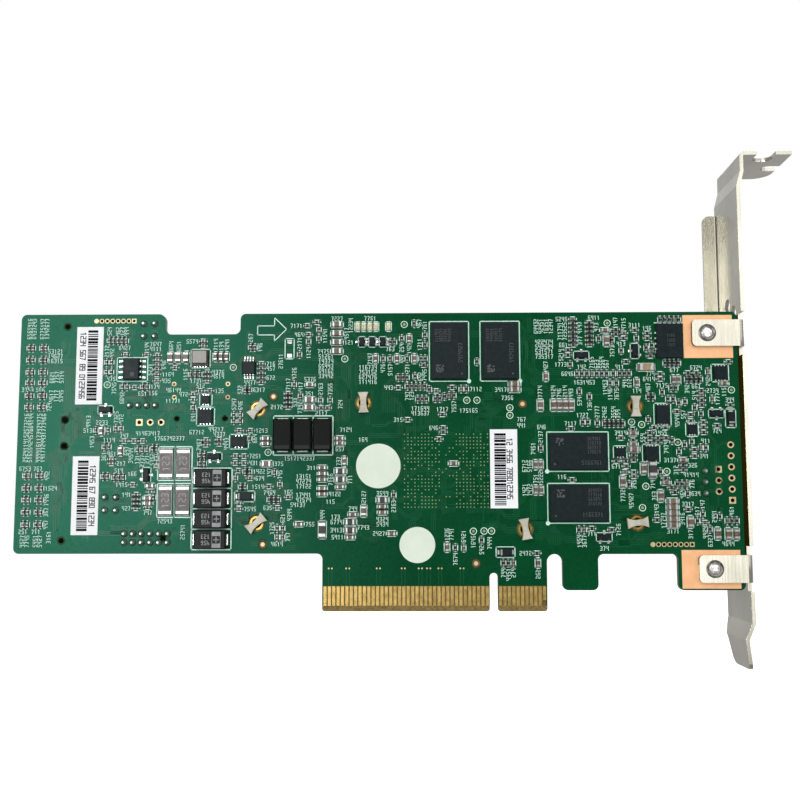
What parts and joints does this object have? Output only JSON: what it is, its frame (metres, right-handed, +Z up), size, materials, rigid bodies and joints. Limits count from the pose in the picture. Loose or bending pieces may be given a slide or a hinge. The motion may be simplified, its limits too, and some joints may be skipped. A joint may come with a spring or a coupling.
{
  "type": "raid controller card",
  "caption": "Half-length expansion card with a keyed gold contact edge, a vented full-height bracket, a pinned finned heatsink and two cable receptacles.",
  "frame": {"origin": "centre line of the key notch in the contact edge, at the bottom of the contacts, on the solder face of the board", "axes": "+X along the board to the bracket, +Y from the solder face through the board to the component side, +Z up from the contact edge"},
  "size_m": [0.1825, 0.0205, 0.12],
  "materials": {
    "bracket_steel": "plated steel sheet, semi-bright",
    "screw_steel": "zinc-plated steel",
    "header_plastic": "black moulded header strip",
    "capacitor_ceramic": "fired ceramic",
    "solder_mask_board": "glass-epoxy laminate under glossy green solder mask",
    "crystal_can": "seam-sealed metal can",
    "diode_mould": "black epoxy moulding",
    "gold_contacts": "gold plating over copper",
    "chip_mould": "black epoxy moulding",
    "ferrite": "ferrite",
    "bare_copper": "bare copper pad",
    "header_pin_metal": "gold-flashed pins",
    "heatsink_aluminium": "extruded aluminium, clear finish",
    "receptacle_steel": "tin-plated steel sheet",
    "contact_tails": "tinned copper alloy",
    "receptacle_plastic": "black moulded nylon",
    "label_paper": "white label stock",
    "polymer_mould": "dark epoxy moulding",
    "choke_body": "pressed iron powder",
    "module_grey": "grey metal-topped power module",
    "resistor_film": "dark overcoat on alumina",
    "plated_lid": "nickel-plated copper lid",
    "chip_substrate": "organic package substrate",
    "spring_steel": "spring wire",
    "pin_plastic": "moulded nylon",
    "led_lens": "clear lens",
    "tantalum_mould": "charcoal epoxy moulding",
    "thermal_compound": "soft thermal pad"
  },
  "bodies": {
    "root": {"bracket": "bracket_steel", "bracket_screws": "screw_steel", "cable_header_base": "header_plastic", "chip_capacitors_large": "capacitor_ceramic", "chip_capacitors_small": "capacitor_ceramic", "chip_parts_behind_small": "capacitor_ceramic", "chip_parts_tiny": "capacitor_ceramic", "circuit_board": "solder_mask_board", "crystal": "crystal_can", "diodes": "diode_mould", "edge_contacts_component_side": "gold_contacts", "edge_contacts_solder_side": "gold_contacts", "eight_lead_chip": "chip_mould", "ferrite_beads": "ferrite", "flash_chip": "chip_mould", "ground_pads": "bare_copper", "header_pins": "header_pin_metal", "heatsink": "heatsink_aluminium", "jumper_header_base": "header_plastic", "leadless_chips": "chip_mould", "lower_receptacle_cage": "receptacle_steel", "lower_receptacle_contacts": "contact_tails", "lower_receptacle_housing": "receptacle_plastic", "lower_square_header_base": "header_plastic", "lower_tail_label": "label_paper", "memory_chips_component_side": "chip_mould", "memory_chips_solder_side": "chip_mould", "middle_label": "label_paper", "polymer_capacitors": "polymer_mould", "power_choke": "choke_body", "power_module": "module_grey", "power_resistors": "resistor_film", "power_transistors": "chip_mould", "processor_lid": "plated_lid", "processor_substrate": "chip_substrate", "push_pin_springs": "spring_steel", "push_pins": "pin_plastic", "service_chip": "chip_mould", "service_header_base": "header_plastic", "small_eight_lead_chip": "chip_mould", "small_power_chokes": "choke_body", "small_transistors": "chip_mould", "status_leds": "led_lens", "tantalum_capacitors": "tantalum_mould", "thermal_pad": "thermal_compound", "transistors": "chip_mould", "upper_receptacle_cage": "receptacle_steel", "upper_receptacle_contacts": "contact_tails", "upper_receptacle_housing": "receptacle_plastic", "upper_square_header_base": "header_plastic", "upper_tail_label": "label_paper"}
  },
  "joints": []
}
